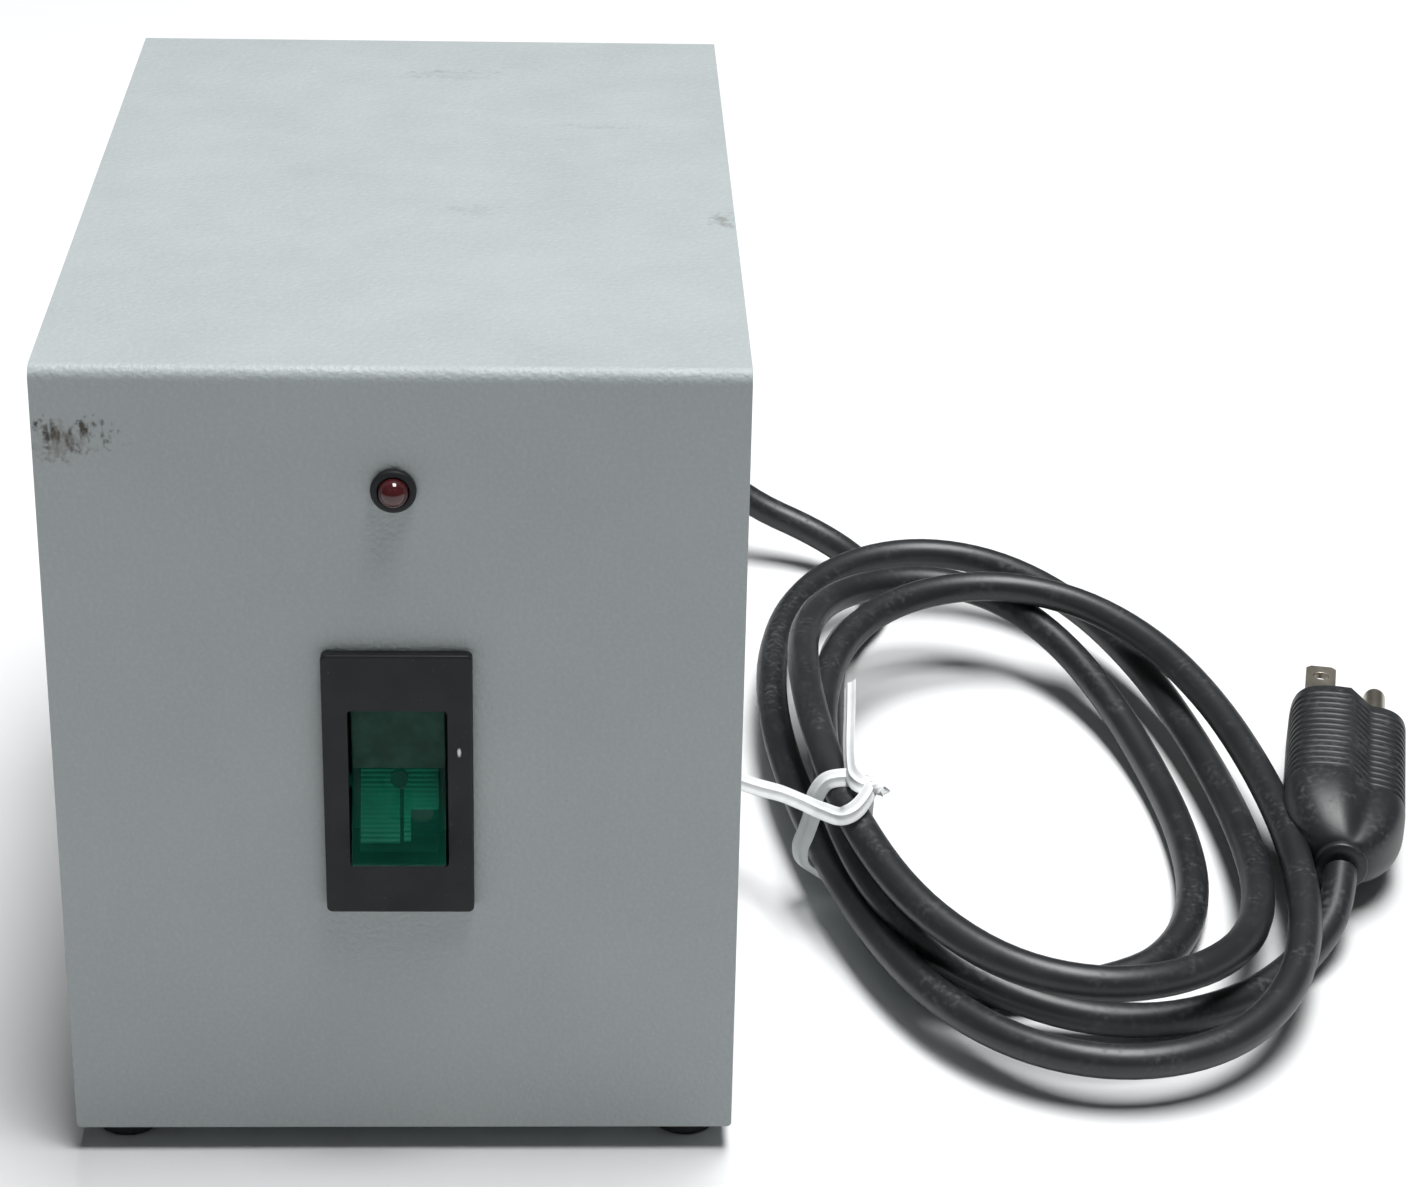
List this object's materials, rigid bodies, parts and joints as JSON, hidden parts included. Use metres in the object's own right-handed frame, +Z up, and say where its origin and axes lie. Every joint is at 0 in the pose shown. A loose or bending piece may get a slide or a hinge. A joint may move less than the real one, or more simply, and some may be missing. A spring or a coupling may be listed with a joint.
{
  "type": "vortex mixer",
  "caption": "Benchtop laboratory mixer: closed flat-topped sheet-metal case with a lit green rocker switch, a red pilot lamp, a magnetic drive under the top, and a coiled mains lead with plug.",
  "frame": {"origin": "on the bench, centred under the case and its fittings (the mains lead not counted)", "axes": "+Z up; the front with the switch faces -Y; +X to the right of someone facing the front"},
  "size_m": [0.2624, 0.2574, 0.149],
  "materials": {
    "case_paint": "fine textured light grey powder coat",
    "zinc_steel": "zinc-plated steel",
    "ground_steel": "ground steel",
    "tinned_metal": "nickel-plated, slightly dull",
    "black_rubber": "matt black rubber",
    "black_plastic": "satin black moulding",
    "green_clear": "clear green plastic",
    "red_clear": "clear dark red plastic",
    "lamp_body": "dark lamp",
    "copper": "copper",
    "bronze": "oil-filled bronze",
    "cast_aluminium": "cast aluminium",
    "turned_aluminium": "turned aluminium",
    "lamination_steel": "varnished laminations",
    "magnet_ferrite": "ferrite",
    "white_plastic": "white plastic",
    "wire_jacket": "black wire insulation",
    "wire_jacket_pale": "white wire insulation",
    "wire_jacket_green": "green wire insulation",
    "black_pvc": "black PVC, dusty"
  },
  "bodies": {
    "case": {"bracket_nuts": "zinc_steel", "bracket_studs": "zinc_steel", "capacitor_clip": "zinc_steel", "chassis_tray": "case_paint", "cleat_screws": "zinc_steel", "cover_wrap": "case_paint", "earth_core": "wire_jacket_green", "earth_nut": "zinc_steel", "earth_stud": "zinc_steel", "earth_tag": "tinned_metal", "foot_nuts": "zinc_steel", "foot_screws": "zinc_steel", "front_cleats": "zinc_steel", "lamp_clip": "black_plastic", "lamp_holder": "black_plastic", "lamp_lens": "red_clear", "lamp_pins": "tinned_metal", "lamp_wires": "wire_jacket_pale", "lead_coil": "black_pvc", "lead_tail": "black_pvc", "lead_tube": "black_pvc", "line_core": "wire_jacket", "lower_bush": "bronze", "lower_end_bell": "cast_aluminium", "motor_bolts": "zinc_steel", "motor_bracket": "zinc_steel", "motor_nuts": "zinc_steel", "motor_wires": "wire_jacket_pale", "neutral_core": "wire_jacket_pale", "plug_blades": "tinned_metal", "plug_body": "black_pvc", "plug_earth_pin": "tinned_metal", "rear_screws": "zinc_steel", "rubber_feet": "black_rubber", "rubber_mounts": "black_rubber", "run_capacitor": "turned_aluminium", "stator_core": "lamination_steel", "stator_windings": "copper", "strain_relief": "black_rubber", "switch_bezel": "black_plastic", "switch_body": "black_plastic", "switch_lamp": "lamp_body", "switch_terminals": "tinned_metal", "switch_wires": "wire_jacket", "terminal_block": "white_plastic", "terminal_screws": "zinc_steel", "twist_tie": "white_plastic", "upper_bush": "bronze", "upper_end_bell": "cast_aluminium"},
    "rocker": {"rocker_cap": "green_clear", "rocker_plunger": "black_plastic"},
    "contact_arm": {"contact_arm": "copper"},
    "drive": {"motor_shaft": "ground_steel", "rotor_core": "lamination_steel", "rotor_rings": "cast_aluminium", "cooling_fan": "black_plastic", "magnet_carrier": "turned_aluminium", "drive_magnets": "magnet_ferrite", "carrier_screw": "ground_steel"}
  },
  "joints": [
    {"name": "rocker_tilt", "type": "hinge", "parent": "case", "child": "rocker", "pos_m": [0, -0.08525, 0.074], "axis": [1, 0, 0], "range_deg": [0, 22]},
    {"name": "contact_tilt", "type": "hinge", "parent": "case", "child": "contact_arm", "pos_m": [0, -0.07185, 0.074], "axis": [1, 0, 0], "range_deg": [-11, 0]},
    {"name": "drive_spin", "type": "hinge", "parent": "case", "child": "drive", "pos_m": [0, 0.00165, 0.1], "axis": [0, 0, 1], "continuous": true}
  ],
  "couplings": [
    {"joint": "contact_tilt", "follows": "rocker_tilt", "ratio": -0.5}
  ]
}
